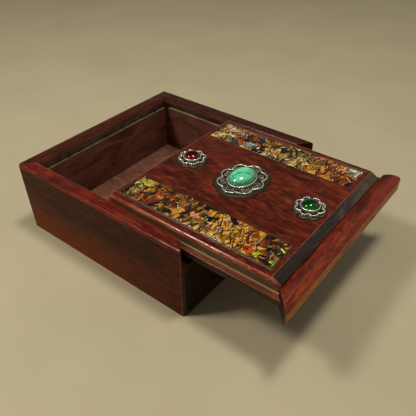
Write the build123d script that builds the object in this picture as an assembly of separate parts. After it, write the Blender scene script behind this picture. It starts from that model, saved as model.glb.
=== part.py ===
from build123d import *
import math
import os

# A near-square hardwood game box with a raised-panel lid that slides in grooves.
# The lid carries two mosaic inlays and a row of three cabochons in scalloped settings.
# Millimetres. X is to the right, Y to the back, Z up. The origin is the middle of the
# box's underside. The lid draws out towards -Y and stands part open at rest.

# ---- box ----
box_width = 140.0
box_length = 137.0
box_height = 50.0
wall_thickness = 9.5
board_thickness = 8.0
board_rabbet = 5.0
lip_height = 4.0
groove_height = 4.8
groove_depth = 3.8
corner_round = 2.5
outer_round = 2.0
inner_round = 1.8

# ---- lid ----
lid_opening = 61.0
field_rise = 1.5
field_gap = 1.6
field_front_gap = 0.8
field_round = 2.0
bevel_length = 5.4
bevel_drop = 3.0
tongue_top_gap = 0.45
tongue_bottom_gap = 0.25
tongue_end_gap = 0.8
rail_height = 12.0
rail_shoulder = 4.2
rail_shoulder_fall = 0.6
rail_front_fall = 4.0
rail_back_round = 1.0
rail_foot_round = 0.8
rail_gap = 0.3
mitre_gap = 0.25
glue_gap = 0.3

# ---- mosaic inlays, measured from the middle of the lid's field edges ----
inlay_width = 22.4
inlay_side_margin = 4.8
inlay_back_margin = 3.7
inlay_front_margin = 2.4
inlay_recess = 1.6
inlay_proud = 0.4

# ---- settings: stone size, the margin round it out to the wire rim, the margin round the
# rim out to the flange's edge, and heights above the lid ----
wire_width = 1.0
plate_thickness = 0.8
bezel_wall = 0.9
bezel_floor = 0.5
bezel_cover = 0.2
stone_fit = 0.05
lobe_count = 8
lobe_share = 0.22
round_setting = {
    "stone": (10.0, 10.0),
    "rim_margin": (3.8, 3.8),
    "plate_margin": (1.4, 1.4),
    "rim_height": 1.6,
    "girdle": 3.0,
    "dome": 2.9,
}
oval_setting = {
    "stone": (20.0, 15.0),
    "rim_margin": (6.7, 6.8),
    "plate_margin": (2.8, 1.9),
    "rim_height": 1.0,
    "girdle": 2.0,
    "dome": 5.2,
}
back_setting_margin = 4.7
middle_setting_place = 4.0
front_setting_margin = 1.1

# ---- levels and places that follow from the sizes above ----
inner_half_width = box_width / 2 - wall_thickness
inner_half_length = box_length / 2 - wall_thickness
groove_top = box_height - lip_height
groove_bottom = groove_top - groove_height
tongue_top = groove_top - tongue_top_gap
tongue_bottom = groove_bottom + tongue_bottom_gap
field_top = box_height + field_rise
rail_bottom = box_height - rail_height
front_wall_height = rail_bottom - rail_gap
field_half_width = inner_half_width - field_gap
field_back = inner_half_length - field_gap
field_front = -inner_half_length + field_front_gap
field_flat_front = field_front + bevel_length
tongue_reach = groove_depth - tongue_end_gap


def rounded(face, corners):
    """A flat profile with some corners rounded: corners lists (point, radius) pairs."""
    for point, radius in corners:
        corner = face.vertices().sort_by_distance(Vector(point[0], point[1], 0))[0]
        face = fillet(corner, radius)
    return face


def block(low, high):
    """A box from its lowest corner to its highest."""
    size = [b - a for a, b in zip(low, high)]
    return Pos(*low) * Box(*size, align=(Align.MIN, Align.MIN, Align.MIN))


def round_cornered(height):
    """A block as wide and long as the box, with its four upright corners rounded."""
    low = (-box_width / 2, -box_length / 2, 0)
    shape = block(low, (box_width / 2, box_length / 2, height))
    return fillet(shape.edges().filter_by(Axis.Z), corner_round)


def outside():
    """The box's outside: rounded upright corners and a rounded edge round the top."""
    shape = round_cornered(box_height)
    return fillet(shape.edges().group_by(Axis.Z)[-1], outer_round)


def side_profile():
    """Section of a grooved wall: X from its outer face at 0 to its inner face, Y up."""
    step = wall_thickness - board_rabbet
    slot = wall_thickness - groove_depth
    outline = Polyline(
        (0, 0),
        (0, box_height),
        (wall_thickness, box_height),
        (wall_thickness, groove_top),
        (slot, groove_top),
        (slot, groove_bottom),
        (wall_thickness, groove_bottom),
        (wall_thickness, board_thickness),
        (step, board_thickness),
        (step, 0),
        close=True,
    )
    return rounded(make_face(outline), [((wall_thickness, box_height), inner_round)])


def front_profile():
    """Section of the low front wall, which has the board's rabbet and no groove."""
    step = wall_thickness - board_rabbet
    outline = Polyline(
        (0, 0),
        (0, front_wall_height),
        (wall_thickness, front_wall_height),
        (wall_thickness, board_thickness),
        (step, board_thickness),
        (step, 0),
        close=True,
    )
    return make_face(outline)


def rail_profile():
    """Section of the pull rail: square back and a crowned top that falls to the front."""
    outline = Polyline(
        (0, box_height - rail_front_fall),
        (0, rail_bottom),
        (wall_thickness, rail_bottom),
        (wall_thickness, box_height),
    )
    crown = ThreePointArc(
        (wall_thickness, box_height),
        (rail_shoulder, box_height - rail_shoulder_fall),
        (0, box_height - rail_front_fall),
    )
    corners = [((0, rail_bottom), rail_foot_round), ((wall_thickness, box_height), rail_back_round)]
    return rounded(make_face([outline, crown]), corners)


def mitred(profile, half_span, run, end_gap, turn):
    """A mitred member of a square frame, drawn on the -X side and turned about Z.

    half_span is from the frame's middle to the member's outer face, run is the member's
    outer length, and end_gap is how far each mitred end stands back, square to its cut.
    """
    bar = extrude(Plane.XZ * profile, run / 2, both=True)
    bar = Pos(-half_span, 0, 0) * bar
    outer_end = run / 2 - end_gap * math.sqrt(2)
    inner_end = outer_end - wall_thickness
    inner_face = -half_span + wall_thickness
    plan = Polyline(
        (-half_span, -outer_end),
        (-half_span, outer_end),
        (inner_face, inner_end),
        (inner_face, -inner_end),
        close=True,
    )
    cutter = extrude(make_face(plan), box_height + field_rise)
    return Rot(0, 0, turn) * (bar & cutter)


def bottom_board():
    """The floor: a board glued into the rabbet round the foot of the walls."""
    half_width = inner_half_width + board_rabbet
    half_length = inner_half_length + board_rabbet
    return block((-half_width, -half_length, 0), (half_width, half_length, board_thickness))


def inlay_places():
    """The two mosaic strips in plan, as (side name, low corner, high corner) of the shut lid."""
    outer = field_half_width - inlay_side_margin
    inner = outer - inlay_width
    back = field_back - inlay_back_margin
    front = field_flat_front + inlay_front_margin
    return [("left", (-outer, front), (-inner, back)), ("right", (inner, front), (outer, back))]


def lid_field():
    """The raised middle of the lid, with rounded edges and a long bevel down to the rail."""
    outline = Polyline(
        (field_back, tongue_top),
        (field_back, field_top),
        (field_flat_front, field_top),
        (field_front, field_top - bevel_drop),
        (field_front, tongue_top),
        close=True,
    )
    field = extrude(Plane.YZ * make_face(outline), field_half_width, both=True)
    back_edge = field.edges().sort_by_distance(Vector(0, field_back, field_top))[0]
    side_edges = field.edges().filter_by(
        lambda edge: abs(edge.center().X) > field_half_width / 2
        and edge.center().Z > field_top - bevel_drop
    )
    return fillet([back_edge, *side_edges], field_round)


def side_tongues():
    """The board that the field stands on, whose edges run in the grooves at the sides and
    back. Its front corners are mitred to meet the pull rail's ends."""
    reach = inner_half_width + tongue_reach
    corner = inner_half_width - mitre_gap * math.sqrt(2)
    plan = Polyline(
        (-reach, -inner_half_length - (reach - corner)),
        (-corner, -inner_half_length),
        (corner, -inner_half_length),
        (reach, -inner_half_length - (reach - corner)),
        (reach, inner_half_length + tongue_reach),
        (-reach, inner_half_length + tongue_reach),
        close=True,
    )
    return Pos(0, 0, tongue_bottom) * extrude(make_face(plan), tongue_top - tongue_bottom)


def lid_panel():
    """The sliding lid: a raised field on a board whose thin edge is a tongue all round."""
    rail_tongue = block(
        (-field_half_width, -inner_half_length - groove_depth + glue_gap, tongue_bottom),
        (field_half_width, field_front, tongue_top),
    )
    panel = side_tongues() + rail_tongue + lid_field()
    for _, low, high in inlay_places():
        panel -= block((*low, field_top - inlay_recess), (*high, field_top + inlay_proud))
    return panel


def pull_rail():
    """The mitred rail, with a stopped groove in its back that takes the lid's front tongue."""
    rail = mitred(rail_profile(), box_length / 2, box_width, mitre_gap, 90)
    groove = block(
        (-field_half_width, -inner_half_length - groove_depth, tongue_bottom),
        (field_half_width, -inner_half_length, tongue_top),
    )
    return (rail & round_cornered(box_height + field_rise)) - groove


def inlay(low, high):
    """One mosaic strip in its resin bed, let into the field and a little proud of it."""
    strip = block((*low, field_top - inlay_recess), (*high, field_top + inlay_proud))
    top_edges = strip.edges().group_by(Axis.Z)[-1]
    return chamfer(top_edges, inlay_proud / 2)


def oval(size, grow=0.0):
    """An oval face from its full (across X, along Y) size, grown by a margin all round."""
    return Ellipse(size[0] / 2 + grow, size[1] / 2 + grow)


def scallops(size, inset=0.0):
    """A scalloped face: equal round lobes on an oval, which touch the given full size."""
    lobe = lobe_share * (size[0] + size[1]) / 2
    across = size[0] / 2 - lobe
    along = size[1] / 2 - lobe
    face = Ellipse(across, along)
    for index in range(lobe_count):
        turn = 2 * math.pi * index / lobe_count
        face += Pos(across * math.cos(turn), along * math.sin(turn)) * Circle(lobe - inset)
    return face


def rim_size(spec):
    """Full size of a setting's wire rim, across and along."""
    return [stone + 2 * margin for stone, margin in zip(spec["stone"], spec["rim_margin"])]


def plate_size(spec):
    """Full size of a setting's flange, across and along."""
    return [rim + 2 * margin for rim, margin in zip(rim_size(spec), spec["plate_margin"])]


def setting_places():
    """The three settings along the middle of the shut lid, as (colour, setting, place)."""
    back = field_back - back_setting_margin - plate_size(round_setting)[1] / 2
    front = field_flat_front + front_setting_margin + plate_size(round_setting)[1] / 2
    return [
        ("red", round_setting, back),
        ("turquoise", oval_setting, middle_setting_place),
        ("green", round_setting, front),
    ]


def filigree_plate(spec):
    """The setting's pierced flange, which lies on the lid."""
    plate = extrude(scallops(plate_size(spec)), plate_thickness)
    across = (spec["stone"][0] + spec["rim_margin"][0]) / 2
    along = (spec["stone"][1] + spec["rim_margin"][1]) / 2
    hole_radius = spec["rim_margin"][1] / 2 - wire_width
    for index in range(lobe_count):
        turn = 2 * math.pi * (index + 0.5) / lobe_count
        hole = Pos(across * math.cos(turn), along * math.sin(turn)) * Circle(hole_radius)
        plate -= extrude(hole, plate_thickness)
    return plate


def wire_rim(spec):
    """The scalloped wire that stands on the flange around the stone."""
    ring = scallops(rim_size(spec)) - scallops(rim_size(spec), inset=wire_width)
    return Pos(0, 0, plate_thickness) * extrude(ring, spec["rim_height"])


def bezel_cup(spec):
    """The cup on the flange whose thin wall holds the stone by its girdle."""
    height = spec["girdle"] + bezel_cover - plate_thickness
    cup = extrude(oval(spec["stone"], stone_fit + bezel_wall), height)
    hollow = extrude(oval(spec["stone"], stone_fit), height)
    return Pos(0, 0, plate_thickness) * (cup - Pos(0, 0, bezel_floor) * hollow)


def cabochon(spec):
    """The stone: a flat-backed girdle under a half-ellipsoid dome."""
    seat = plate_thickness + bezel_floor
    girdle = extrude(oval(spec["stone"]), spec["girdle"] - seat)
    ball = scale(Sphere(1), by=(spec["stone"][0] / 2, spec["stone"][1] / 2, spec["dome"]))
    reach = max(spec["stone"])
    dome = ball & block((-reach, -reach, 0), (reach, reach, reach))
    return Pos(0, 0, seat) * (girdle + Pos(0, 0, spec["girdle"] - seat) * dome)


half_width = box_width / 2
half_length = box_length / 2
opened = Pos(0, -lid_opening, 0)

parts = {
    "left_wall": mitred(side_profile(), half_width, box_length, 0, 0) & outside(),
    "front_wall": mitred(front_profile(), half_length, box_width, 0, 90) & outside(),
    "right_wall": mitred(side_profile(), half_width, box_length, 0, 180) & outside(),
    "back_wall": mitred(side_profile(), half_length, box_width, 0, 270) & outside(),
    "bottom_board": bottom_board(),
    "lid_panel": opened * lid_panel(),
    "pull_rail": opened * pull_rail(),
}
for side, low, high in inlay_places():
    parts[side + "_mosaic_inlay"] = opened * inlay(low, high)
for colour, spec, place in setting_places():
    seat = opened * Pos(0, place, field_top)
    parts[colour + "_filigree_plate"] = seat * filigree_plate(spec)
    parts[colour + "_wire_rim"] = seat * wire_rim(spec)
    parts[colour + "_bezel_cup"] = seat * bezel_cup(spec)
    parts[colour + "_cabochon"] = seat * cabochon(spec)

os.makedirs("parts", exist_ok=True)
for node, solid in parts.items():
    export_step(solid, "parts/" + node + ".step")
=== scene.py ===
import math

import bmesh
import bpy
import numpy as np
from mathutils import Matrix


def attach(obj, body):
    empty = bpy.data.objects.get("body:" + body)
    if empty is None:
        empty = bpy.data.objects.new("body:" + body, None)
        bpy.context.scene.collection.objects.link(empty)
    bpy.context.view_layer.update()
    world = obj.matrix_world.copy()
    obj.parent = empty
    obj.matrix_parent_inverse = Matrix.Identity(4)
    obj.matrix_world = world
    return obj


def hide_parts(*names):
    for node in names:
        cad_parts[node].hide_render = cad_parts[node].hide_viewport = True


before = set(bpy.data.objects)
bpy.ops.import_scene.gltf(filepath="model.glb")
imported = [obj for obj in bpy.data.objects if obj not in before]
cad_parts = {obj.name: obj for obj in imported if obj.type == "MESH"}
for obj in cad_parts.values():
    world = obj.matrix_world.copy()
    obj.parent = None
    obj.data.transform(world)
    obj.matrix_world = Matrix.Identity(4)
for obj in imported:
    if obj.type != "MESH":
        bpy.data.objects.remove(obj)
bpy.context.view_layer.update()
scene = bpy.context.scene


# ---- Photographer's view ----
# The camera stands off the box's front left corner and looks down on it at 41 degrees.
# Its place, lens and shift come from fitting the box's straight edges in the photograph.
view_azimuth = 52.12
view_elevation = 41.14
camera_data = bpy.data.cameras.new("camera")
camera_data.sensor_width = 36.0
camera_data.lens = 41.22
camera_data.shift_x = 0.0006
camera_data.shift_y = 0.0764
camera_data.clip_start = 0.01
camera = bpy.data.objects.new("camera", camera_data)
camera.location = (-0.20036, -0.18680, 0.21245)
camera.rotation_euler = (math.radians(90 - view_elevation), 0, math.radians(-view_azimuth))
scene.collection.objects.link(camera)
scene.camera = camera
scene.view_settings.view_transform = "Standard"


# ---- Studio light ----
# Two small soft lamps, one overhead and one behind on the left, give each stone its pair of
# highlights. A wide warm panel fills from the front right, and the room is a pale low
# backdrop under a dim wall and a soft ceiling.
def linear(code):
    """sRGB hex to linear RGBA: values up to 0.04045 are divided by 12.92, and above that
    0.055 is added, the sum divided by 1.055 and raised to the power 2.4."""
    channels = [int(code[i:i + 2], 16) / 255 for i in (1, 3, 5)]
    return (*[c / 12.92 if c <= 0.04045 else ((c + 0.055) / 1.055) ** 2.4 for c in channels], 1.0)


def add_node(tree, kind, values=None, links=None, stops=None, out=0, **settings):
    """Adds one node and gives its output out: settings are its own properties, values its
    sockets' plain values, links the outputs that feed them, stops a ramp's (place, colour)."""
    made = tree.nodes.new("ShaderNode" + kind)
    for name, value in settings.items():
        setattr(made, name, value)
    for socket, value in (values or {}).items():
        made.inputs[socket].default_value = value
    for socket, source in (links or {}).items():
        tree.links.new(source, made.inputs[socket])
    for index, (place, colour) in enumerate(stops or []):
        elements = made.color_ramp.elements
        element = elements[index] if index < 2 else elements.new(place)
        element.position = place
        element.color = colour
    return made.outputs[out] if made.outputs else None


def area_lamp(name, direction, distance, width, power, colour):
    """A square lamp at a distance in m along a direction, facing the box's middle."""
    data = bpy.data.lights.new(name, "AREA")
    data.size = width
    data.energy = power
    data.color = linear(colour)[:3]
    lamp = bpy.data.objects.new(name, data)
    aim = np.array([0.0, -0.03, 0.03])
    unit = np.array(direction) / np.linalg.norm(direction)
    lamp.location = aim + distance * unit
    lamp.rotation_euler = (math.acos(unit[2]), 0, math.atan2(unit[0], -unit[1]))
    scene.collection.objects.link(lamp)


area_lamp("overhead_lamp", (0.07, -0.14, 0.97),
          distance=0.80, width=0.15, power=3.0, colour="#FFF8EC")
area_lamp("back_left_lamp", (-0.44, 0.39, 0.80),
          distance=0.80, width=0.15, power=3.0, colour="#FFF6EA")
area_lamp("front_right_panel", (0.66, -0.50, 0.62),
          distance=1.10, width=0.80, power=1.1, colour="#FFF6EA")

world = bpy.data.worlds.new("room")
world.use_nodes = True
scene.world = world
room = world.node_tree
room.nodes.clear()
direction = add_node(room, "TexCoord", out="Generated")
height = add_node(room, "SeparateXYZ", links={0: direction}, out="Z")
ceiling = add_node(
    room, "ValToRGB", links={0: height},
    stops=[
        (0.00, linear("#C9C4B0")), (0.24, linear("#B9B4A2")), (0.40, linear("#302E2A")),
        (0.74, linear("#403E3A")), (0.90, linear("#54524D")), (1.00, linear("#5A5852")),
    ],
)
backdrop = add_node(room, "Background", values={1: 1.0}, links={0: ceiling})
add_node(room, "OutputWorld", links={0: backdrop})


# ---- Floor ----
# A plain pale board under the box, matt, with the faintest mottle of a painted surface.
def new_material(name, values):
    """A new material whose shader has these plain values on its sockets.

    Gives the material, its node tree and the point on the piece in metres.
    """
    material = bpy.data.materials.new(name)
    material.use_nodes = True
    tree = material.node_tree
    shader = tree.nodes["Principled BSDF"]
    for socket, value in values.items():
        shader.inputs[socket].default_value = value
    return material, tree, add_node(tree, "TexCoord", out="Object")


def feed(material, links):
    """Joins outputs to the sockets of a material's shader."""
    tree = material.node_tree
    for socket, source in links.items():
        tree.links.new(source, tree.nodes["Principled BSDF"].inputs[socket])


floor_half = 4.0
floor_mesh = bpy.data.meshes.new("floor")
floor_mesh.from_pydata(
    [(-floor_half, -floor_half, 0), (floor_half, -floor_half, 0),
     (floor_half, floor_half, 0), (-floor_half, floor_half, 0)],
    [], [(0, 1, 2, 3)],
)
floor = bpy.data.objects.new("floor", floor_mesh)
scene.collection.objects.link(floor)
paint, tree, place = new_material(
    "pale_matt_paint", {"Roughness": 0.65, "Specular IOR Level": 0.25})
mottle = add_node(tree, "TexNoise", values={"Scale": 14.0, "Detail": 5.0},
                  links={"Vector": place})
tint = add_node(tree, "ValToRGB", links={0: mottle},
                stops=[(0.3, linear("#B8AE90")), (0.7, linear("#C0B698"))])
feed(paint, {"Base Color": tint})
floor_mesh.materials.append(paint)


# ---- Box walls ----
# Four mitred boards of red-brown rosewood with rounded tops, grooved inside for the lid.
# The outside and the tops carry a gloss lacquer; the groove was cut afterwards and is bare.
outer_half_width, outer_half_length, round_start = 70.0, 68.5, 48.0
inner_half_width, inner_half_length = 60.5, 59.0
groove_low, groove_high, groove_depth = 41.2, 46.0, 3.8
near = 0.1  # a point this close to a face, in mm, counts as on it
rightward, backward, upward = (1, 0, 0), (0, 1, 0), (0, 0, 1)


def rosewood(name, along, dark, mid, light, coat, roughness, shift=0.0, wear=0.0, gloss=0.15,
             contrast=1.0):
    """Rosewood whose grain runs along one axis: a broad figure, long dark streaks and short
    open pores, each a noise stretched along the grain, under lacquer of the given weight.

    Real pores are 0.2 mm wide, too fine to show here, so they are drawn at 0.4 mm. wear is
    how far a paler, rubbed tone shows through in patches, and contrast scales the streaks.
    """
    material, tree, place = new_material(name, {
        "Coat Weight": coat, "Coat Roughness": 0.10, "Specular IOR Level": gloss})
    white = (1, 1, 1, 1)

    def grain(across, length, detail, rough, bend):
        """Noise whose cells are across by length by across millimetres."""
        size = [across, across, across]
        size["XYZ".index(along)] = length
        stretch = add_node(tree, "Mapping", links={"Vector": place}, values={
            "Scale": [1000 / s for s in size], "Location": (shift, shift * 1.7, shift * 0.6)})
        return add_node(tree, "TexNoise", links={"Vector": stretch}, values={
            "Scale": 1.0, "Detail": detail, "Roughness": rough, "Distortion": bend})

    def shaded(base, noise, weight, stops):
        """A colour multiplied, by the given weight, by the shades that a noise picks."""
        shade = add_node(tree, "ValToRGB", links={0: noise}, stops=stops)
        return add_node(tree, "Mix", data_type="RGBA", out=2, blend_type="MULTIPLY",
                        values={0: weight}, links={6: base, 7: shade})

    figure = grain(9.0, 34.0, 3.0, 0.6, 1.1)
    streaks = grain(0.9, 7.5, 3.0, 0.64, 0.7)
    pores = grain(0.4, 4.5, 2.0, 0.5, 0.0)
    body = add_node(tree, "ValToRGB", links={0: figure},
                    stops=[(0.30, linear(dark)), (0.72, linear(light)), (0.50, linear(mid))])
    streaked = shaded(body, streaks, 0.75 * contrast,
                      [(0.38, (0.34, 0.30, 0.30, 1)), (0.56, white)])
    pored = shaded(streaked, pores, 0.7 * contrast, [(0.58, white), (0.68, (0.25, 0.22, 0.2, 1))])
    patch = add_node(tree, "MapRange", values={1: 0.50, 2: 0.62, 3: 0.0, 4: wear},
                     links={0: grain(2.2, 9.0, 4.0, 0.65, 0.8)})
    sheen = add_node(tree, "MapRange", links={0: streaks},
                     values={1: 0.3, 2: 0.7, 3: roughness + 0.08, 4: roughness - 0.05})
    relief = add_node(tree, "Math", operation="MULTIPLY_ADD", values={1: -0.6},
                      links={0: pores, 2: streaks})
    bump = add_node(tree, "Bump", values={"Strength": 0.25, "Distance": 0.0002},
                    links={"Height": relief})
    # The lacquer's own skin is level over the pores, with ripples 4 mm long.
    ripple = add_node(tree, "TexNoise", values={"Scale": 260.0, "Detail": 2.0},
                      links={"Vector": place})
    skin = add_node(tree, "Bump", values={"Strength": 0.10, "Distance": 0.0003},
                    links={"Height": ripple, "Normal": bump})
    feed(material, {"Base Color": pored, "Roughness": sheen, "Normal": bump, "Coat Normal": skin})
    tinted(material, "#B5683C", patch)
    return material


def tinted(material, colour, share):
    """Mixes a colour into a material's base colour, by the share that an output gives."""
    tree = material.node_tree
    base = tree.nodes["Principled BSDF"].inputs["Base Color"].links[0].from_socket
    mixed = add_node(tree, "Mix", data_type="RGBA", out=2, values={7: linear(colour)},
                     links={0: share, 6: base})
    feed(material, {"Base Color": mixed})


def faded(material, *fades, folded=False):
    """A share that changes across a piece: the product of one or more fades.

    Each fade is a direction, two distances along it in mm, and the share at each of the two.
    folded lays the left half over the right, so that x is the distance from the middle.
    """
    tree = material.node_tree
    place = add_node(tree, "TexCoord", out="Object")
    if folded:
        turned = add_node(tree, "VectorMath", operation="MULTIPLY",
                          values={1: (-1, 1, 1)}, links={0: place})
        place = add_node(tree, "VectorMath", operation="MAXIMUM", links={0: place, 1: turned})
    share = None
    for direction, start, end, low, high in fades:
        reach = add_node(tree, "VectorMath", operation="DOT_PRODUCT", out="Value",
                         values={1: direction}, links={0: place})
        fade = add_node(tree, "MapRange", links={0: reach},
                        values={1: start / 1000, 2: end / 1000, 3: low, 4: high})
        share = fade if share is None else add_node(
            tree, "Math", operation="MULTIPLY", links={0: share, 1: fade})
    return share


def softened(node, name, width, finishes, body):
    """A piece with a CAD node's shape and its hard corners eased by width, in mm.

    The node's triangles are merged at their corners and flat neighbours dissolved into one
    face. finishes lists (material, test): a face takes the last one whose test its centre in
    mm passes, or else the first. The eased corners take the last, which has no test.
    """
    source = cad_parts[node].data
    corners = np.zeros(len(source.vertices) * 3)
    source.vertices.foreach_get("co", corners)
    faces = np.zeros(len(source.polygons) * 3, int)
    source.polygons.foreach_get("vertices", faces)
    mesh = bpy.data.meshes.new(name)
    mesh.from_pydata(corners.reshape(-1, 3).tolist(), [], faces.reshape(-1, 3).tolist())
    shape = bmesh.new()
    shape.from_mesh(mesh)
    bmesh.ops.remove_doubles(shape, verts=shape.verts, dist=2e-6)
    bmesh.ops.dissolve_limit(shape, angle_limit=math.radians(0.6), verts=shape.verts,
                             edges=shape.edges)
    for face in shape.faces:
        face.smooth = True
        middle = face.calc_center_median() * 1000
        for index, (_, test) in enumerate(finishes):
            if test and test(*middle):
                face.material_index = index
    shape.to_mesh(mesh)
    shape.free()
    for material, _ in finishes:
        mesh.materials.append(material)
    piece = bpy.data.objects.new(name, mesh)
    scene.collection.objects.link(piece)
    ease = piece.modifiers.new("eased_corners", "BEVEL")
    ease.width = width / 1000
    ease.segments = 2
    ease.limit_method = "ANGLE"
    ease.angle_limit = math.radians(26)
    ease.use_clamp_overlap = False
    ease.material = len(finishes) - 1
    piece.modifiers.new("even_shading", "WEIGHTED_NORMAL")
    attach(piece, body)
    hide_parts(node)
    return piece


def in_groove(x, y, z):
    """True inside the groove: past the walls' inner faces, between its bottom and top."""
    aside, behind = abs(x) - inner_half_width, y - inner_half_length
    within = max(aside, behind) < groove_depth + near
    return max(aside, behind) > near and within and groove_low - near <= z <= groove_high + near


def inside_box(x, y, z):
    """True on the walls' inner faces and everything nearer the middle."""
    return abs(x) < inner_half_width + near / 2 and abs(y) < inner_half_length + near / 2


def outer_face(x, y, z):
    """True on the walls' upright outside faces."""
    outermost = abs(x) > outer_half_width - near or abs(y) > outer_half_length - near
    return outermost and z < round_start - near


# The bare wood's pale tones are partly its own and partly a painted light on the ledge in the
# lip's shadow. Painted shade darkens it along the groove's front edge, where the lamps reach, and
# darkens all of the groove above its floor by nearly half.
bare_wood = rosewood("bare_cut_wood_painted_light_and_shade", "Y", "#84745A", "#AE9C7A", "#C6B492", 0.0, 0.6,
                     contrast=0.6)
tinted(bare_wood, "#33281A", faded(
    bare_wood, (rightward, inner_half_width + 0.4, inner_half_width + 1.4, 0.8, 0.0),
    (backward, inner_half_length + 0.4, inner_half_length + 1.4, 1.0, 0.0), folded=True))
tinted(bare_wood, "#1C130A",
       faded(bare_wood, (upward, groove_low, groove_low + 0.6, 0.0, 0.45)))

# Each wall's name, grain, weight of coat, shift of grain, wear, and tones from dark to light.
walls = (
    ("left_wall", "Y", 0.26, 1.0, 0.14, ("#360E08", "#681A10", "#822818")),
    ("right_wall", "Y", 0.16, 4.3, 0.08, ("#200D08", "#3A150D", "#4C1E13")),
    ("back_wall", "X", 0.16, 7.1, 0.05, ("#280D08", "#48170E", "#5E2013")),
    # The front wall's tones are the darkest: its own colour darkened by a painted shadow of the
    # lid's overhang.
    ("front_wall", "X", 0.26, 9.7, 0.04, ("#140704", "#240D07", "#32140C")),
)
for name, along, coat, shift, wear, tones in walls:
    lacquered = rosewood(name + "_lacquered_rosewood", along, *tones, coat, 0.36, shift=shift,
                         wear=wear)
    arris = rosewood(name + "_rubbed_arris", along, "#2E0F08", "#481810", "#62281A", 0.12, 0.40,
                     shift=shift, wear=0.2, gloss=0.1)
    outside = inside = lacquered
    if name != "front_wall":
        # The outside faces take a darker, duller copy of the lacquer: painted shade on sides
        # turned from the lamps. Orange-brown near the foot, more to the back, is a painted glow of
        # light thrown up from the floor.
        outside = rosewood(name + "_outer_face_painted_shade_and_bounce", along, "#2E1208", "#42190A", "#56230E",
                           0.06, 0.50, shift=shift + 0.4, wear=0.05, gloss=0.08, contrast=0.6)
        tinted(outside, "#8A4012", faded(outside, (upward, 28.0, 2.0, 0.0, 0.55),
                                         (backward, -60.0, 20.0, 0.25, 1.0)))
        inside = rosewood(name + "_thin_finished_rosewood", along, "#523024", "#724638",
                          "#865446", 0.05, 0.5, shift=shift, contrast=0.4)
    piece = softened(name, name + "_board", 0.35,
                     [(lacquered, None), (outside, outer_face), (inside, inside_box),
                      (bare_wood, in_groove), (arris, None)],
                     "box")


# ---- Bottom board ----
# A plain hardwood board glued into the rabbet round the walls' feet, thinly finished inside.
board_wood = rosewood("plain_hardwood", "Y", "#704636", "#8A5C4A", "#9A6C56", 0.05, 0.55,
                      shift=2.2, contrast=0.8)
piece = softened("bottom_board", "floor_board", 0.2, [(board_wood, None)], "box")


# ---- Lid panel ----
# One rosewood board with a raised field. Its edges are rounded, its front is bevelled down to
# the rail, and a thin tongue left bare on top runs in the grooves.
tongue_half_width, tongue_top = 63.5, 45.55
field_half_width, field_top, round_radius = 58.9, 51.5, 2.0
bevel_start, bevel_end, bevel_low = -113.9, -119.1, 48.6
lid_wood = rosewood("lid_lacquered_rosewood", "Y", "#320F09", "#5A1D11", "#7C2C18", 0.28, 0.34,
                    shift=12.4, wear=0.16)
# The bevel's dark tones with a grey light tone are painted shade on a slope turned from the lamps,
# with a painted reflection of the room in it.
lid_bevel = rosewood("bevel_painted_shade_and_reflection", "X", "#0D0909", "#30221E", "#6A5756",
                     0.22, 0.38, shift=6.2, contrast=1.2)
tongue_wood = rosewood("worn_tongue", "Y", "#4E2416", "#6C3822", "#80462E", 0.05, 0.5,
                       shift=3.3)
# The upright edges' dark tones are painted shade on faces turned from the lamps.
edge_wood = rosewood("upright_edge_painted_shade", "Y", "#1E140C", "#362616", "#463220", 0.1, 0.5,
                     shift=7.9)
# The rounds along the field's sides take lighter tones: partly rubbed wear, partly a painted
# highlight of the back-left lamp running along them.
round_wood = rosewood("lid_round_edge_wear_and_painted_highlight", "Y", "#5E2014", "#8A3A28", "#B0664C", 0.5, 0.26,
                      shift=9.1, wear=0.5)
# The lid's eased corners take lighter tones: partly rubbed wear, partly a painted highlight along
# the edges.
lid_arris = rosewood("lid_arris_wear_and_painted_highlight", "Y", "#5A2414", "#7E3C24", "#985636", 0.4, 0.3,
                     shift=5.0, wear=0.3)

# The field's sides are painted paler than the tongue's sides, a painted reflection of the floor on
# them. The tongue's top beside the field never enters the groove, and its bare wood stays pale in
# a band 1.3 mm wide along each side. The bevel turns olive towards its right end: painted light
# where the lamps catch it.
tinted(edge_wood, "#8E7458",
       faded(edge_wood, (upward, tongue_top, tongue_top + 0.15, 0.0, 0.38)))
tinted(tongue_wood, "#8A7A52", faded(tongue_wood, (rightward, 58.6, 58.8, 0.0, 1.0),
                                     (rightward, 59.9, 60.3, 0.85, 0.0), folded=True))
tinted(lid_bevel, "#54441F", faded(lid_bevel, (rightward, 15.0, 55.0, 0.0, 0.5)))


def on_tongue(x, y, z):
    """True on the tongue's top, outside the raised field."""
    return abs(z - tongue_top) < near


def on_bevel(x, y, z):
    """True on the long slope in front of the field."""
    between = abs(x) < field_half_width - round_radius + near and bevel_end < y < bevel_start
    return between and bevel_low < z < field_top - near / 2


def on_upright_edge(x, y, z):
    """True on the upright faces of the tongue's sides and of the field's sides."""
    if z < tongue_top:
        return abs(x) > tongue_half_width - near
    return abs(x) > field_half_width - near and tongue_top < z < field_top - round_radius


def on_round_edge(x, y, z):
    """True on the rounds along the field's two sides."""
    aside = abs(x) > field_half_width - round_radius + near / 2
    return aside and field_top - round_radius < z < field_top - near / 2


piece = softened("lid_panel", "lid_board", 0.25,
                 [(lid_wood, None), (tongue_wood, on_tongue), (edge_wood, on_upright_edge),
                  (round_wood, on_round_edge), (lid_bevel, on_bevel), (lid_arris, None)],
                 "lid")


# ---- Pull rail ----
# A mitred rail of the same wood, glued over the lid's front tongue, with a sloped front. It
# closes down on the low front wall.
rail_front, rail_shoulder, slope_low, slope_high = -129.5, -125.3, 46.0, 49.45
mitre_corner = -59.8  # where the two mitres would meet, in y, in mm
rail_wood = rosewood("rail_lacquered_rosewood", "X", "#401209", "#6E200E", "#8A2E16", 0.22, 0.34,
                     shift=8.8, wear=0.12)
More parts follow.
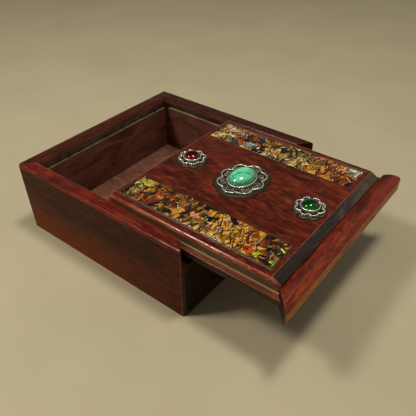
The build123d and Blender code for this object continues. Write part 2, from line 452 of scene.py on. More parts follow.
# The slope and the front face take lighter, more orange tones than the top: partly the wood's own,
# partly painted light on faces turned to the front.
rail_slope = rosewood("rail_front_slope", "X", "#5A1E0C", "#842E16", "#A0421E", 0.14, 0.38,
                      shift=1.8, wear=0.2, gloss=0.1)
rail_face = rosewood("rail_front_face", "X", "#864212", "#B86624", "#D07E34", 0.05, 0.44,
                     shift=4.8, wear=0.10, gloss=0.1)
rail_end = rosewood("rail_sawn_mitre", "Z", "#100A08", "#20140F", "#2C1C14", 0.1, 0.5, shift=2.8)
rail_arris = rosewood("rail_rubbed_arris", "X", "#5C1E10", "#80301A", "#984A2A", 0.4, 0.3,
                      shift=8.8, wear=0.3)

# To the right the rail's top is darker and its slope redder.
tinted(rail_wood, "#2A0E06", faded(rail_wood, (rightward, 0.0, 60.0, 0.0, 0.55)))
tinted(rail_slope, "#8C1A0A", faded(rail_slope, (rightward, 0.0, 45.0, 0.0, 0.6)))


def on_mitre(x, y, z):
    """True on the rail's two sawn ends, where y falls by as much as x grows."""
    return abs(x) > inner_half_width - near and abs(abs(x) + y - mitre_corner) < 0.3


def on_rail_slope(x, y, z):
    """True on the slope from the rail's shoulder down to its front face."""
    return y < rail_shoulder and slope_low < z < slope_high


def on_rail_front(x, y, z):
    """True on the rail's upright front face."""
    return y < rail_front + 0.2 and z < slope_low


piece = softened("pull_rail", "rail_board", 0.3,
                 [(rail_wood, None), (rail_slope, on_rail_slope), (rail_face, on_rail_front),
                  (rail_end, on_mitre), (rail_arris, None)],
                 "lid")


# ---- Mosaic inlays ----
# Two strips of shell, horn and amber flakes laid on black resin, with a margin of beige resin
# along the outer edge. Poured level with the field, ground flush and polished.
def closed_surface(grid, wrap_rows=False, caps=False):
    """Points, quads and triangles of a closed surface, from a grid of points in mm.

    Each four neighbours in the grid make a quad, and its columns wrap round. Its rows may wrap
    too, or caps closes the first and last rows with a fan to their middle. The faces are
    turned over if the volume inside, a sixth of the sum of their corners' triple products
    taken from the points' mean, comes out negative.
    """
    rows, columns = grid.shape[:2]
    index = np.arange(rows * columns).reshape(rows, columns)
    if wrap_rows:
        index = np.vstack([index, index[:1]])
    index = np.hstack([index, index[:, :1]])
    quads = np.stack([index[:-1, :-1], index[1:, :-1], index[1:, 1:], index[:-1, 1:]], -1)
    quads = quads.reshape(-1, 4)
    points = grid.reshape(-1, 3)
    fans = np.zeros((0, 3), int)
    if caps:
        first, last = index[0], index[-1]
        points = np.vstack([points, grid[0].mean(0), grid[-1].mean(0)])
        middle = np.full(columns, rows * columns)
        fans = np.concatenate([np.stack([first[:-1], first[1:], middle], -1),
                               np.stack([last[1:], last[:-1], middle + 1], -1)])
    triangles = np.concatenate([quads[:, :3], quads[:, [0, 2, 3]], fans])
    corner = (points - points.mean(0))[triangles]
    if np.einsum("ij,ij->", corner[:, 0], np.cross(corner[:, 1], corner[:, 2])) < 0:
        quads, fans = quads[:, ::-1], fans[:, ::-1]
    return points, quads, fans


def lid_piece(name, shells, material):
    """One smooth-shaded piece of the lid from closed surfaces: points, quads and fans."""
    starts = np.cumsum([0] + [len(shell[0]) for shell in shells])
    faces = []
    for kind in (1, 2):
        moved = [shell[kind] + start for shell, start in zip(shells, starts)]
        faces += np.concatenate(moved).tolist()
    points = np.concatenate([shell[0] for shell in shells]) / 1000
    mesh = bpy.data.meshes.new(name)
    mesh.from_pydata(points.tolist(), [], faces)
    mesh.polygons.foreach_set("use_smooth", np.ones(len(faces), bool))
    mesh.materials.append(material)
    piece = bpy.data.objects.new(name, mesh)
    scene.collection.objects.link(piece)
    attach(piece, "lid")
    return piece


# A strip's place in x from each side of the middle and in y, its size, its heights and margins.
inlay_inner, inlay_front = 31.7, -111.4
inlay_width, inlay_length = 22.4, 104.1
inlay_low, inlay_top, bed_top, flake_top = 49.9, 51.86, 51.5, 51.88
outer_margin, inner_margin, step = 1.2, 0.35, 0.3


def resin_bed(side):
    """The bed's closed slab: level inside, with its margins raised by a smooth step.

    The top's height is the bed's plus the margins' rise times one minus the product of four
    ramps, one from each edge, that go from 0 to 1 over 0.3 mm past the margin. Its rim falls
    by 0.12 mm times the square of how near the edge is, within 0.3 mm of it.
    """
    def gaps(size, count):
        """Distances from an edge to its opposite, closer together at both ends."""
        return np.concatenate([[0, step / 2], np.linspace(step, size - step, count),
                               [size - step / 2, size]])

    def slope(gap, margin):
        """0 up to the margin and 1 from 0.3 mm past it."""
        return np.clip((gap - margin) / step, 0, 1)

    across, along = gaps(inlay_width, 60), gaps(inlay_length, 120)
    from_outer, from_back = inlay_width - across, inlay_length - along
    level = (slope(across, inner_margin) * slope(from_outer, outer_margin))[None, :]
    level = level * (slope(along, inner_margin) * slope(from_back, inner_margin))[:, None]
    edge = np.minimum(np.minimum(across, from_outer)[None, :],
                      np.minimum(along, from_back)[:, None])
    height = bed_top + (inlay_top - bed_top) * (1 - level)
    height = height - 0.12 * (1 - np.clip(edge / step, 0, 1)) ** 2
    x = side * (inlay_inner + across)
    top = np.stack(np.broadcast_arrays(x[None, :], (inlay_front + along)[:, None], height), -1)
    low = top[:, [-1, 0]] * [1, 1, 0] + [0, 0, inlay_low]
    return np.concatenate([top, low], 1)


spine_steps, section_sides = 6, 6
flake_points = spine_steps * section_sides + 2


def flake_shapes(rng, where, turn, size, bend, lift, tilt, thick, blunt):
    """Closed lens-shaped flakes, each a six-sided section carried along a bent spine.

    Along the spine u runs from 0 to 1. The half width is the flake's times sin(pi u) to the
    power blunt, made ragged by a fifth or so on each side. The spine bends sideways by
    bend times length times (u - 0.5) squared. Both ends close to a point.
    """
    count = len(where)
    u = np.linspace(0.05, 0.95, spine_steps)[None, :, None]
    phi = np.linspace(0, 2 * np.pi, section_sides, endpoint=False)[None, None, :]
    length, width = size[:, 0, None, None], size[:, 1, None, None]
    ragged = 1 + 0.22 * rng.standard_normal((count, spine_steps, 2))
    side = np.where(np.cos(phi) > 0, ragged[:, :, :1], ragged[:, :, 1:])
    half = 0.5 * width * np.sin(np.pi * u) ** blunt[:, None, None]
    go = (u - 0.5) * length + 0 * phi
    off = bend[:, None, None] * length * ((u - 0.5) ** 2 - 0.08) + half * side * np.cos(phi)
    rise = 0.5 * thick[:, None, None] * np.sin(phi) * np.sin(np.pi * u) ** 0.4
    rise = rise + tilt[:, 0, None, None] * go + tilt[:, 1, None, None] * off
    poles = size[:, :1] * [-0.5, 0.5]
    go = np.concatenate([go.reshape(count, -1), poles], 1)
    ends = (bend * size[:, 0] * 0.17)[:, None] + 0 * poles
    off = np.concatenate([off.reshape(count, -1), ends], 1)
    rise = np.concatenate([rise.reshape(count, -1), tilt[:, :1] * poles], 1)
    cos, sin = np.cos(turn)[:, None], np.sin(turn)[:, None]
    points = np.stack([where[:, :1] + go * cos - off * sin, where[:, 1:] + go * sin + off * cos,
                       lift[:, None] + rise], -1)
    return points, np.stack([go, off], -1)


# The pale greens, blues and whites among these tones, lime, leaf, sea, sky and pearl, stand partly
# for painted glints of the shell's iridescent reflection.
tones = {
    "soot": "#0A0705", "umber": "#22120A", "horn": "#542C10", "rust": "#8A3411",
    "ember": "#B04C14", "amber": "#B27726", "honey": "#CE9A40", "straw": "#C8AE5E",
    "cream": "#E8D49C", "khaki": "#98864E", "gold": "#D8A828", "lime": "#B6DA2E",
    "leaf": "#4E9C48", "sea": "#4FC0A4", "sky": "#8DB2D4", "violet": "#54407E",
    "rose": "#CC866A", "pink": "#A85A4A", "slate": "#39424F", "pearl": "#FAF8EE",
}
# Each bank of flakes: its middle and spread along the strip from back to front, its middle and
# spread from the outer edge to the inner, and the tones of its flakes.
left_banks = [
    (0.04, 0.05, 0.45, 0.5, "straw khaki umber lime umber horn soot umber"),
    (0.16, 0.08, 0.5, 0.6, "horn rust umber amber honey ember"),
    (0.30, 0.07, 0.5, 0.6, "amber horn rust umber honey horn cream umber"),
    (0.42, 0.06, 0.6, 0.6, "horn honey amber amber rose honey"),
    (0.50, 0.05, 0.5, 0.5, "umber horn amber horn amber soot straw"),
    (0.63, 0.05, 0.4, 0.5, "rose honey cream rose straw honey"),
    (0.67, 0.03, 0.95, 0.15, "violet violet umber"),
    (0.71, 0.07, 0.5, 0.6, "gold honey gold gold honey amber"),
    (0.82, 0.06, 0.5, 0.6, "rust ember amber horn honey rose"),
    (0.93, 0.06, 0.5, 0.7, "soot umber horn rust amber amber umber lime"),
]
right_banks = [
    (0.05, 0.08, 0.5, 0.6, "cream straw khaki amber cream horn"),
    (0.20, 0.07, 0.6, 0.5, "soot ember umber amber slate ember sky"),
    (0.28, 0.16, 0.0, 0.10, "pink rose rust"),
    (0.34, 0.09, 0.4, 0.6, "rust umber umber amber horn"),
    (0.43, 0.06, 0.8, 0.4, "cream honey amber soot straw"),
    (0.56, 0.08, 0.5, 0.6, "khaki straw umber umber khaki cream"),
    (0.69, 0.06, 0.6, 0.6, "khaki honey cream horn amber horn"),
    (0.78, 0.12, 0.0, 0.15, "pink rust rose"),
    (0.86, 0.08, 0.5, 0.6, "rust umber amber honey rust"),
    (0.97, 0.03, 0.25, 0.3, "sky pearl violet slate"),
    (0.97, 0.04, 0.8, 0.4, "rust ember umber"),
]


def bank_tones(rng, banks, along, across):
    """Two tones for each flake: a bank drawn by its nearness, then two of its tones.

    A bank's weight falls off as exp of minus the squared distances over the spreads.
    """
    middle = np.array([bank[:4] for bank in banks])
    away = ((along[:, None] - middle[:, 0]) / middle[:, 1]) ** 2
    away = away + ((across[:, None] - middle[:, 2]) / middle[:, 3]) ** 2
    weight = np.exp(away.min(1, keepdims=True) - away)
    drawn = rng.random((len(along), 1))
    pick = (weight.cumsum(1) / weight.sum(1, keepdims=True) > drawn).argmax(1)
    table = [np.array([linear(tones[tone])[:3] for tone in bank[4].split()]) for bank in banks]
    count = np.array([len(row) for row in table])
    table = np.array([np.resize(row, (count.max(), 3)) for row in table])
    first = (rng.random(len(along)) * count[pick]).astype(int)
    second = (rng.random(len(along)) * count[pick]).astype(int)
    return table[pick, first], table[pick, second]


def lay_flakes(rng, side, banks, sparks):
    """Every flake of one strip: a floor of broad plates, then petals, splinters and sparks.

    The plates stand on a jittered grid. Petals lie any way, and splinters mostly across the
    strip. Points past the margins are drawn back to them, as grinding would cut them.
    """
    def anywhere(count):
        """Places spread evenly over the strip."""
        return np.stack([rng.uniform(0.5, inlay_width - 0.8, count),
                         rng.uniform(0.5, inlay_length - 0.5, count)], -1)

    # 4 by 19 plates stand 5.6 mm apart across the strip and 5.7 mm along it.
    gx, gy = np.meshgrid(np.arange(4) * 5.6 + 2.6, np.arange(19) * 5.7 + 1.2)
    plates = np.stack([gx.ravel(), gy.ravel()], -1)
    plates = plates + rng.uniform(-1.8, 1.8, plates.shape)
    # Places, lengths, widths, bend, heights, tilt, thickness, bluntness and tone of each layer.
    plan = [
        (plates, (10.0, 16.0), (6.5, 9.5), 0.22, (51.44, 51.52), 0.006, 0.25, 0.35, None),
        (anywhere(56), (7.0, 14.0), (2.4, 5.2), 0.30, (51.55, 51.66), 0.012, 0.22, 0.50, None),
        (anywhere(60), (3.0, 7.0), (0.9, 2.0), 0.45, (51.64, 51.72), 0.018, 0.18, 0.70, None),
        (anywhere(220), (3.0, 10.0), (0.35, 0.75), 0.35, (51.70, 51.78), 0.006, 0.14, 0.60,
         "soot"),
        (anywhere(30), (2.0, 6.0), (0.30, 0.55), 0.30, (51.74, 51.80), 0.008, 0.12, 0.60,
         "cream"),
    ]
    layers = []
    for where, length, width, bend, lift, tilt, thick, blunt, tone in plan:
        count = len(where)
        along, across = 1 - where[:, 1] / inlay_length, where[:, 0] / inlay_width
        first, second = bank_tones(rng, banks, along, 1 - across)
        turn = rng.uniform(0, 2 * np.pi, count)
        if tone:
            turn = rng.normal(0.1, 0.5, count)
            first = np.array([linear(tones[tone])[:3]]) * rng.uniform(0.7, 1.6, (count, 1))
            second = first
        size = np.stack([rng.uniform(*length, count), rng.uniform(*width, count)], -1)
        layers.append((where, turn, size, rng.normal(0, bend, count), rng.uniform(*lift, count),
                       rng.normal(0, tilt, (count, 2)), np.full(count, thick),
                       np.full(count, blunt), first, second))
    count = len(sparks)
    spot = np.array([spark[:2] for spark in sparks]) * [inlay_width, inlay_length]
    spot = [inlay_width, inlay_length] - spot
    bright = np.array([linear(tones[spark[2]])[:3] for spark in sparks])
    turn = rng.uniform(0, 6.3, count)
    size = np.stack([rng.uniform(1.0, 2.8, count), rng.uniform(0.5, 1.0, count)], -1)
    layers.append((spot, turn, size, rng.normal(0, 0.4, count), np.full(count, 51.79),
                   rng.normal(0, 0.03, (count, 2)), np.full(count, 0.14), np.full(count, 0.6),
                   bright, bright * 0.8))
    if side < 0:
        # A straight dark joint between two sheets of flakes crosses the left strip.
        black = np.array([linear(tones["soot"])[:3]])
        layers.append((np.array([[10.5, 43.7]]), np.array([-0.2]), np.array([[22.0, 0.8]]),
                       np.zeros(1), np.array([51.80]), np.zeros((1, 2)), np.array([0.14]),
                       np.array([0.3]), black, black))
    joined = [np.concatenate(column) for column in zip(*layers)]
    size, first, second = joined[2], joined[8], joined[9]
    points, own = flake_shapes(rng, *joined[:8])
    inset = inner_margin + 0.1
    low = [inset, inset, bed_top - 0.2]
    high = [inlay_width - outer_margin - 0.1, inlay_length - inset, flake_top]
    points = np.clip(points, low, high) * [side, 1, 1] + [side * inlay_inner, inlay_front, 0]
    count = len(points)
    blend = own[..., 0] / size[:, :1] * 6 + rng.normal(0, 0.8, (count, 1))
    blend = (0.5 + 0.5 * np.tanh(blend))[..., None]
    colour = first[:, None] * (1 - blend) + second[:, None] * blend
    colour = colour * rng.uniform(0.60, 1.28, (count, 1, 1))
    shift = rng.uniform(0, 60, (count, 1, 1)) + 0 * own[..., :1]
    return points, colour, np.concatenate([own, shift], -1)


def flake_mesh(name, side, points, colour, own, material):
    """One mesh of every flake, with each point's tone and its place on its own flake."""
    ring = np.arange(spine_steps * section_sides).reshape(spine_steps, section_sides)
    ring = np.hstack([ring, ring[:, :1]])
    quads = np.stack([ring[:-1, :-1], ring[:-1, 1:], ring[1:, 1:], ring[1:, :-1]], -1)
    quads = quads.reshape(-1, 4)
    pole = np.full(section_sides, flake_points - 2)
    fans = np.concatenate([np.stack([ring[0, 1:], ring[0, :-1], pole], -1),
                           np.stack([ring[-1, :-1], ring[-1, 1:], pole + 1], -1)])
    if side < 0:
        quads, fans = quads[:, ::-1], fans[:, ::-1]
    start = np.arange(len(points))[:, None, None] * flake_points
    faces = (quads + start).reshape(-1, 4), (fans + start).reshape(-1, 3)
    piece = lid_piece(name, [(points.reshape(-1, 3), *faces)], material)
    paint = piece.data.attributes.new("flake_tone", "FLOAT_COLOR", "POINT")
    alpha = np.ones((*colour.shape[:2], 1))
    paint.data.foreach_set("color", np.concatenate([colour, alpha], -1).ravel())
    spot = piece.data.attributes.new("flake_place", "FLOAT_VECTOR", "POINT")
    spot.data.foreach_set("vector", own.ravel())
    return piece


# Polished shell, horn and amber: growth lines 0.3 mm wide run along each flake and are drawn
# at 1.0 mm so that they show. The tone is the flake's own, deeper between the lines.
shell, tree, _ = new_material("polished_shell_and_horn", {
    "Coat Weight": 0.3, "Coat Roughness": 0.06, "Specular IOR Level": 0.25})
tone = add_node(tree, "Attribute", attribute_name="flake_tone", out="Color")
spot = add_node(tree, "Attribute", attribute_name="flake_place", out="Vector")
stretch = add_node(tree, "Mapping", values={"Scale": (0.22, 1.0, 1.0)}, links={"Vector": spot})
lines = add_node(tree, "TexNoise", links={"Vector": stretch},
                 values={"Scale": 1.0, "Detail": 3.0, "Roughness": 0.6, "Distortion": 0.5})
depth = add_node(tree, "ValToRGB", links={0: lines},
                 stops=[(0.36, (0.14, 0.08, 0.05, 1)), (0.62, (1.35, 1.30, 1.2, 1)),
                        (0.47, (0.85, 0.78, 0.70, 1))])
grown = add_node(tree, "Mix", data_type="RGBA", out=2, blend_type="MULTIPLY",
                 values={0: 0.9}, links={6: tone, 7: depth})
gloss = add_node(tree, "MapRange", values={1: 0.3, 2: 0.7, 3: 0.42, 4: 0.22}, links={0: lines})
ridge = add_node(tree, "Bump", values={"Strength": 0.3, "Distance": 0.0001},
                 links={"Height": lines})
feed(shell, {"Base Color": grown, "Roughness": gloss, "Normal": ridge})

# Cast resin: black under the flakes and beige in the margins, with grit of 1 mm in it.
resin, tree, place = new_material("polished_cast_resin", {
    "Roughness": 0.3, "Coat Weight": 0.3, "Coat Roughness": 0.08})
grit = add_node(tree, "TexNoise", links={"Vector": place},
                values={"Scale": 900.0, "Detail": 4.0, "Roughness": 0.65})
beige = add_node(tree, "ValToRGB", links={0: grit},
                 stops=[(0.36, linear("#34261A")), (0.62, linear("#725A44"))])
black = add_node(tree, "ValToRGB", links={0: grit},
                 stops=[(0.4, linear("#080504")), (0.7, linear("#2A160C"))])
margin = faded(resin, (upward, 51.65, 51.80, 0.0, 1.0), (rightward, 52.5, 52.8, 0.25, 1.0),
               folded=True)
fill = add_node(tree, "Mix", data_type="RGBA", out=2, links={0: margin, 6: black, 7: beige})
feed(resin, {"Base Color": fill})

# Small bright chips, partly real chips and partly painted glints that stand in for the shell's
# iridescent reflection: each one's place from the outer edge and from the back, and its tone.
left_sparks = [
    (0.30, 0.90, "lime"), (0.50, 0.93, "sea"), (0.35, 0.95, "pearl"), (0.60, 0.90, "leaf"),
    (0.55, 0.97, "lime"), (0.75, 0.94, "straw"), (0.80, 0.98, "gold"), (0.25, 0.97, "sea"),
    (0.45, 0.88, "lime"), (0.70, 0.97, "pearl"), (0.40, 0.98, "lime"), (0.65, 0.82, "lime"),
    (0.85, 0.90, "amber"), (0.15, 0.88, "sea"), (0.90, 0.96, "gold"), (0.40, 0.03, "lime"),
    (0.55, 0.05, "lime"), (0.30, 0.07, "straw"), (0.65, 0.02, "pearl"), (0.25, 0.45, "straw"),
    (0.60, 0.60, "sea"), (0.50, 0.78, "lime"), (0.40, 0.72, "gold"), (0.55, 0.75, "gold"),
    (0.35, 0.33, "cream"), (0.45, 0.62, "sky"), (0.70, 0.70, "violet"), (0.90, 0.68, "violet"),
    (0.70, 0.52, "violet"), (0.65, 0.53, "violet"), (0.30, 0.30, "cream"),
]
right_sparks = [
    (0.35, 0.18, "pearl"), (0.40, 0.16, "sky"), (0.30, 0.20, "pearl"), (0.30, 0.97, "sky"),
    (0.40, 0.98, "pearl"), (0.20, 0.96, "sky"), (0.35, 0.94, "violet"), (0.70, 0.42, "cream"),
    (0.80, 0.44, "cream"), (0.75, 0.46, "honey"), (0.50, 0.70, "honey"), (0.60, 0.72, "cream"),
    (0.25, 0.66, "cream"), (0.20, 0.05, "cream"), (0.50, 0.03, "cream"),
]
for name, side, banks, sparks, seed in (("left", -1, left_banks, left_sparks, 11),
                                        ("right", 1, right_banks, right_sparks, 23)):
    rng = np.random.default_rng(seed)
    bed = lid_piece(name + "_inlay_bed", [closed_surface(resin_bed(side), caps=True)], resin)
    points, colour, own = lay_flakes(rng, side, banks, sparks)
    flakes = flake_mesh(name + "_inlay_flakes", side, points, colour, own, shell)
    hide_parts(name + "_mosaic_inlay")


# ---- Stone settings ----
# Three bezel-set cabochons in scalloped cast settings of aged silver, pinned and glued down the
# middle of the lid: a scalloped flange, a wire gallery round the stone, scrolls and small balls.
red_middle, turquoise_middle, green_middle = -18.5, -57.0, -102.5  # in y, in mm
turns = np.linspace(0, 2 * np.pi, 240, endpoint=False)
round_stone = {
    "stone": (10.0, 10.0), "rim": (17.6, 17.6), "flange": (20.4, 20.4), "girdle": 3.0,
    "dome": 2.9, "wire_top": 2.35, "wire": 0.34, "rim_lobe": 0.15, "flange_lobe": 0.20,
}
oval_stone = {
    "stone": (20.0, 15.0), "rim": (33.4, 28.6), "flange": (39.0, 32.4), "girdle": 2.0,
    "dome": 5.2, "wire_top": 1.75, "wire": 0.34, "rim_lobe": 0.168, "flange_lobe": 0.30,
}


def oval_radius(size, angle):
    """An oval's distance from its middle: 1 over the root of (cos/a) squared + (sin/b) squared."""
    return 1 / np.hypot(np.cos(angle) / (size[0] / 2), np.sin(angle) / (size[1] / 2))


def scallop_radius(size, angle, share):
    """Eight round lobes on an oval, as a distance from the middle at each angle.

    A lobe's far side lies at its centre's reach along the ray plus the root of its radius
    squared less the miss squared. The largest of the lobes and the oval is taken softly, as
    the log of the sum of exp(sharp times each) over sharp, which rounds the notches.
    """
    sharp = 5.0
    lobe = share * (size[0] + size[1]) / 2
    around = np.arange(8) * np.pi / 4
    centre = np.stack([(size[0] / 2 - lobe) * np.cos(around),
                       (size[1] / 2 - lobe) * np.sin(around)])
    ray = np.stack([np.cos(angle), np.sin(angle)])
    along = ray.T @ centre
    miss = (centre ** 2).sum(0) - along ** 2
    half = np.sqrt(np.clip(lobe ** 2 - miss, 0, None))
    reach = np.where(miss < lobe ** 2, along + half, 0)
    oval = oval_radius((size[0] - 2 * lobe, size[1] - 2 * lobe), angle)
    both = np.concatenate([reach, oval[:, None]], 1)
    return np.log(np.exp(sharp * both).sum(1)) / sharp


def carried(centre, radii, heights):
    """A profile carried round the stone: each row is one profile point at every angle."""
    radii = np.broadcast_to(radii, (len(heights), len(turns)))
    heights = np.broadcast_to(np.asarray(heights, float).reshape(len(heights), -1), radii.shape)
    return np.stack([radii * np.cos(turns), centre + radii * np.sin(turns),
                     field_top + heights], -1)


def wire(path, radius, sides, closed=True):
    """A round wire: a circle carried along a path, square to it and to the upright."""
    if closed:
        tangent = np.roll(path, -1, 0) - np.roll(path, 1, 0)
    else:
        tangent = np.gradient(path, axis=0)
    tangent = tangent / np.linalg.norm(tangent, axis=1, keepdims=True)
    level = np.cross(tangent, [0, 0, 1.0])
    level = level / np.linalg.norm(level, axis=1, keepdims=True)
    rise = np.cross(level, tangent)
    phi = np.linspace(0, 2 * np.pi, sides, endpoint=False)[None, :, None]
    return path[:, None] + radius * (np.cos(phi) * level[:, None] + np.sin(phi) * rise[:, None])


def balls(places, radius, tall=1.0):
    """Small balls, or posts when tall: rows run from pole to pole at radius times the sine of
    the latitude, and tall times its cosine up or down."""
    lat = np.linspace(0.25, np.pi - 0.25, 6)[:, None]
    lon = np.linspace(0, 2 * np.pi, 10, endpoint=False)[None, :]
    unit = np.stack([np.sin(lat) * np.cos(lon), np.sin(lat) * np.sin(lon),
                     tall * np.cos(lat) + 0 * lon], -1)
    return [closed_surface(np.array(place) + radius * unit, caps=True) for place in places]


def scroll(middle, start, hand, size):
    """A C scroll: a spiral that shrinks from size to a quarter over one and a quarter turns."""
    t = np.linspace(0, 1, 36)
    reach = size * (1 - 0.75 * t)
    angle = start + hand * t * 2.5 * np.pi
    return np.stack([middle[0] + reach * np.cos(angle), middle[1] + reach * np.sin(angle),
                     middle[2] + 0 * t], -1)


def aged_silver(name, low, high, middle, bright):
    """Silver over brass, cast and oxidised: dark olive low down and rubbed bright on top.

    The rubbed share rises with height from low to high, in mm above the lid's field, and is
    broken up by noise whose patches are 0.8 mm wide. Real casting grain is 0.05 mm, too fine
    to show, and is drawn at 0.25 mm.
    """
    material, tree, place = new_material(name, {"Metallic": 0.75})
    height = faded(material, (upward, field_top + low, field_top + high, 0.0, 1.0))
    patch = add_node(tree, "TexNoise", links={"Vector": place},
                     values={"Scale": 1250.0, "Detail": 3.0, "Roughness": 0.6})
    broken = add_node(tree, "Math", operation="MULTIPLY_ADD",
                      values={1: 0.8, 2: -0.4}, links={0: patch})
    rubbed = add_node(tree, "Math", operation="ADD", use_clamp=True, links={0: height, 1: broken})
    colour = add_node(tree, "ValToRGB", links={0: rubbed},
                      stops=[(0.10, linear("#1E1E16")), (0.90, linear(bright)),
                             (0.45, linear(middle))])
    rough = add_node(tree, "MapRange", values={1: 0.0, 2: 1.0, 3: 0.55, 4: 0.26},
                     links={0: rubbed})
    grain = add_node(tree, "TexNoise", values={"Scale": 4000.0, "Detail": 2.0},
                     links={"Vector": place})
    cast = add_node(tree, "Bump", values={"Strength": 0.35, "Distance": 0.00005},
                    links={"Height": grain})
    feed(material, {"Base Color": colour, "Roughness": rough, "Normal": cast})
    return material


flange_silver = aged_silver("oxidised_silver_flange", 0.2, 1.9, "#545238", "#8C8A70")
wire_silver = aged_silver("rubbed_silver_wire", 0.55, 1.45, "#5C5A46", "#ECEBE2")


def clear_stone(name, deep, bright, centre):
    """Polished glass: deep where it looks up, and bright low on the side that the light which
    crosses the stone comes out of, 2 to 6 mm from its centre to the front left.

    Its clouds are 4.5 mm wide. centre is the stone's middle in y, in mm.
    """
    material, tree, place = new_material(name, {
        "Roughness": 0.03, "IOR": 1.50, "Transmission Weight": 0.1})
    cloud = add_node(tree, "TexNoise", links={"Vector": place},
                     values={"Scale": 220.0, "Detail": 2.0, "Distortion": 0.6})
    colour = add_node(tree, "ValToRGB", links={0: cloud},
                      stops=[(0.45, linear(deep)), (1.00, linear(bright))])
    feed(material, {"Base Color": colour})
    front_left = (-0.85, -0.5, 0)
    middle = front_left[1] * centre
    tinted(material, bright, faded(material, (front_left, middle + 1.8, middle + 5.6, 0.0, 0.8)))
    return material


ruby = clear_stone("polished_ruby_glass", "#240003", "#980610", red_middle)
emerald = clear_stone("polished_emerald_glass", "#001004", "#008418", green_middle)

# Turquoise: a waxy blue-green stone with clouds 3 mm wide, crossed by fine dark veins of its
# mother rock 12 mm apart. The veins are 0.1 mm wide and are drawn at 0.2 mm so that they show.
# Painted shade turns it olive-green on its front right side and darker green round its rim.
turquoise, tree, place = new_material("polished_veined_turquoise", {
    "Roughness": 0.20, "Coat Weight": 0.7, "Coat Roughness": 0.07, "Subsurface Weight": 0.08,
    "Subsurface Radius": (0.0006, 0.0010, 0.0008)})
middle = add_node(tree, "Mapping", values={"Location": (0.0031, -turquoise_middle / 1000, -0.05)},
                  links={"Vector": place})
warp = add_node(tree, "TexNoise", values={"Scale": 260.0, "Detail": 3.0},
                links={"Vector": middle}, out="Color")
bent = add_node(tree, "VectorMath", operation="MULTIPLY_ADD",
                values={1: (0.0026, 0.0026, 0.0026)}, links={0: warp, 2: middle})
veins = add_node(tree, "TexVoronoi", feature="DISTANCE_TO_EDGE", values={"Scale": 80.0},
                 links={"Vector": bent})
vein = add_node(tree, "MapRange", values={1: 0.0, 2: 0.032, 3: 1.0, 4: 0.0}, links={0: veins})
cloud = add_node(tree, "TexNoise", links={"Vector": middle},
                 values={"Scale": 330.0, "Detail": 4.0, "Roughness": 0.6})
pale = add_node(tree, "ValToRGB", links={0: cloud},
                stops=[(0.30, linear("#3CC08C")), (0.70, linear("#7CF0C2"))])
lean = add_node(tree, "VectorMath", operation="DOT_PRODUCT", out="Value",
                values={1: (1.0, -1.2, 0.0)}, links={0: middle})
aside = add_node(tree, "MapRange", values={1: 0.006, 2: 0.020, 3: 0.0, 4: 0.75}, links={0: lean})
# The place in the oval, as x over 10 mm and y over 7.5 mm, has a length of 1 at its edge.
oval = add_node(tree, "Mapping", links={"Vector": place},
                values={"Location": (0, 7.6, 0), "Scale": (100.0, 133.33, 0)})
outward = add_node(tree, "VectorMath", operation="LENGTH", out="Value", links={0: oval})
rim = add_node(tree, "MapRange", values={1: 0.74, 2: 1.0, 3: 0.0, 4: 0.85}, links={0: outward})
feed(turquoise, {"Base Color": pale})
# aside and rim lay painted shade over the stone; vein is its own dark matrix.
for share, colour in ((aside, "#3C8A44"), (vein, "#1E4430"), (rim, "#1E6A3A")):
    tinted(turquoise, colour, share)
sunk = add_node(tree, "Bump", values={"Strength": 0.4, "Distance": 0.00008},
                invert=True, links={"Height": vein})
feed(turquoise, {"Normal": sunk})


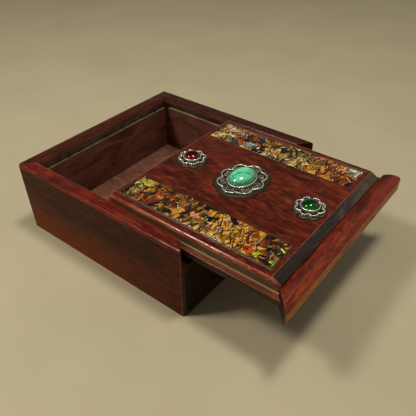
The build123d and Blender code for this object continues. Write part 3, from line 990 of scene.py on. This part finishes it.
def setting(colour, spec, centre, stone_finish):
    """One whole setting at its place along the lid, CAD node by node.

    Each profile lists its points' distances, as shares of the way from the stone to the
    flange's edge or in mm out from the stone, and their heights in mm on the lid.
    """
    def ringed(radius, angle, height):
        """Points at a distance and an angle from the stone's middle, at a height on the lid."""
        return np.stack([radius * np.cos(angle), centre + radius * np.sin(angle),
                         field_top + height + 0 * angle], -1)

    inner = oval_radius(spec["stone"], turns)
    rim = scallop_radius(spec["rim"], turns, spec["rim_lobe"]) - spec["wire"]
    outer = scallop_radius(spec["flange"], turns, spec["flange_lobe"])
    lift = 0.18 * (outer - outer.min()) / (outer.max() - outer.min())
    share = np.array([-0.02, -0.02, 0.25, 0.55, 0.78, 0.88, 0.95, 0.985, 1.0, 0.985])[:, None]
    reach = inner * (1 - share) + outer * share
    plate = np.array([0.02, 0.75, 0.62, 0.58, 0.72, 0.60, 0.38, 0.34, 0.20, 0.02])[:, None]
    wave = np.array([0, 0, 0, 0.6, 1.0, 0.9, 0.6, 0.4, 0.2, 0])[:, None] * lift
    shells = [closed_surface(carried(centre, reach, plate + wave), wrap_rows=True)]
    flange = lid_piece(colour + "_flange", shells, flange_silver)

    low = ringed(rim, turns, 0.80)
    high = ringed(rim, turns, spec["wire_top"] - spec["wire"] + 0.10 * np.cos(8 * turns))
    shells = [closed_surface(wire(low, 0.30, 8), wrap_rows=True),
              closed_surface(wire(high, spec["wire"], 12), wrap_rows=True)]
    gallery = lid_piece(colour + "_scalloped_wire", shells, wire_silver)

    wall = spec["girdle"] + 0.2
    edge = np.array([0.08, 0.66, 0.58, 0.68, 0.64, 0.48, 0.26, 0.08, 0.03, 0.06])[:, None]
    rise = [0.80, 0.80, wall - 0.60, wall - 0.30, wall - 0.02, wall + 0.12, wall + 0.14, wall,
            wall - 0.3, 1.0]
    shells = [closed_surface(carried(centre, inner + edge, rise), wrap_rows=True)]
    bezel = lid_piece(colour + "_bezel", shells, wire_silver)

    fall = np.linspace(0.06, np.pi / 2, 16)[:, None]
    dome = np.concatenate([np.sin(fall) * inner, inner[None], inner[None] * 0.96])
    level = np.concatenate([spec["girdle"] + spec["dome"] * np.cos(fall[:, 0]), [1.6, 1.32]])
    shells = [closed_surface(carried(centre, dome, level), caps=True)]
    stone = lid_piece(colour + "_stone", shells, stone_finish)

    middles = np.arange(8) * np.pi / 4
    notches = middles + np.pi / 8
    lobe = scallop_radius(spec["rim"], middles, spec["rim_lobe"])
    notch = scallop_radius(spec["rim"], notches, spec["rim_lobe"])
    between = 0.5 * (oval_radius(spec["stone"], middles) + 1.0 + lobe - spec["wire"])
    if colour == "turquoise":
        scrolls = []
        for hand in (1, -1):
            spots = ringed(between, middles + hand * 0.13, 0.95)
            for spot, turn in zip(spots, middles):
                path = scroll(spot, turn + hand * 1.6, hand, 1.75)
                scrolls.append(closed_surface(wire(path, 0.22, 8, closed=False), caps=True))
        work = lid_piece("turquoise_scrolls", scrolls, wire_silver)
        ring = np.linspace(0, 2 * np.pi, 44, endpoint=False)
        shells = balls(ringed(oval_radius(spec["stone"], ring) + 1.35, ring, 0.95), 0.30)
        shells += balls(ringed(notch + 0.3, notches, 1.0), 0.36)
    else:
        shells = balls(ringed(between, middles, 1.0), 0.42)
        shells += balls(ringed(notch + 1.0, notches, 0.75), 0.42)
        for aside in (-0.16, 0.16):
            shells += balls(ringed(notch + 0.15, notches + aside, 1.25), 0.30, 2.6)
            shells += balls(ringed(notch + 1.35, notches + 1.9 * aside, 0.62), 0.34)
    beads = lid_piece(colour + "_beads", shells, wire_silver)
    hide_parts(colour + "_filigree_plate")
    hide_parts(colour + "_wire_rim")
    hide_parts(colour + "_bezel_cup")
    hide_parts(colour + "_cabochon")


setting("red", round_stone, red_middle, ruby)
setting("turquoise", oval_stone, turquoise_middle, turquoise)
setting("green", round_stone, green_middle, emerald)
